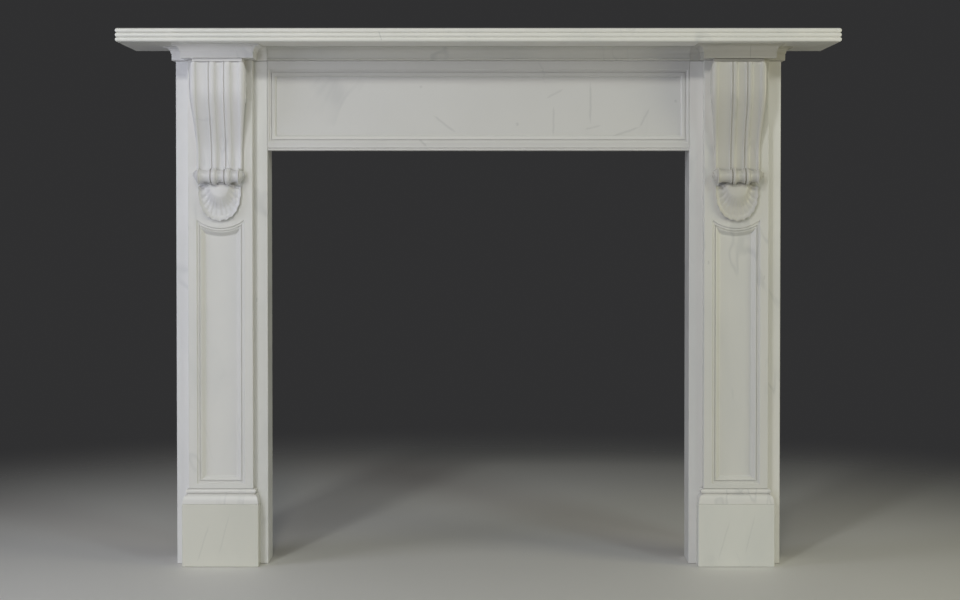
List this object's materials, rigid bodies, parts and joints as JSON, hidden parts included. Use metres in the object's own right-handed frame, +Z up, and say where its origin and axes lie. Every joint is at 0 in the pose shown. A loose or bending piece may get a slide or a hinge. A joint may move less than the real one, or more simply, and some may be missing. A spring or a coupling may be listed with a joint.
{
  "type": "fireplace mantel",
  "caption": "White marble chimneypiece: panelled legs with fluted scroll corbels and shells, a panelled frieze and a reeded shelf around a fire opening.",
  "frame": {"origin": "on the floor, at the middle of the width and of the depth of the whole chimneypiece", "axes": "+X to the right for someone who faces the fire, -Y out into the room, +Y into the wall, +Z up"},
  "size_m": [1.603, 0.215, 1.2133],
  "materials": {
    "shelf marble": "polished",
    "bed_moulding marble": "polished",
    "cap_left marble": "polished",
    "cap_right marble": "polished",
    "frieze marble": "polished",
    "jamb_left marble": "polished",
    "jamb_right marble": "polished",
    "pilaster_left marble": "polished",
    "pilaster_right marble": "polished",
    "corbel_left marble": "polished",
    "corbel_right marble": "polished",
    "base_moulding_left marble": "polished",
    "base_moulding_right marble": "polished",
    "plinth_left marble": "polished",
    "plinth_right marble": "polished"
  },
  "bodies": {
    "root": {"shelf": "shelf marble", "bed_moulding": "bed_moulding marble", "cap_left": "cap_left marble", "cap_right": "cap_right marble", "frieze": "frieze marble", "jamb_left": "jamb_left marble", "jamb_right": "jamb_right marble", "pilaster_left": "pilaster_left marble", "pilaster_right": "pilaster_right marble", "corbel_left": "corbel_left marble", "corbel_right": "corbel_right marble", "base_moulding_left": "base_moulding_left marble", "base_moulding_right": "base_moulding_right marble", "plinth_left": "plinth_left marble", "plinth_right": "plinth_right marble"}
  },
  "joints": []
}
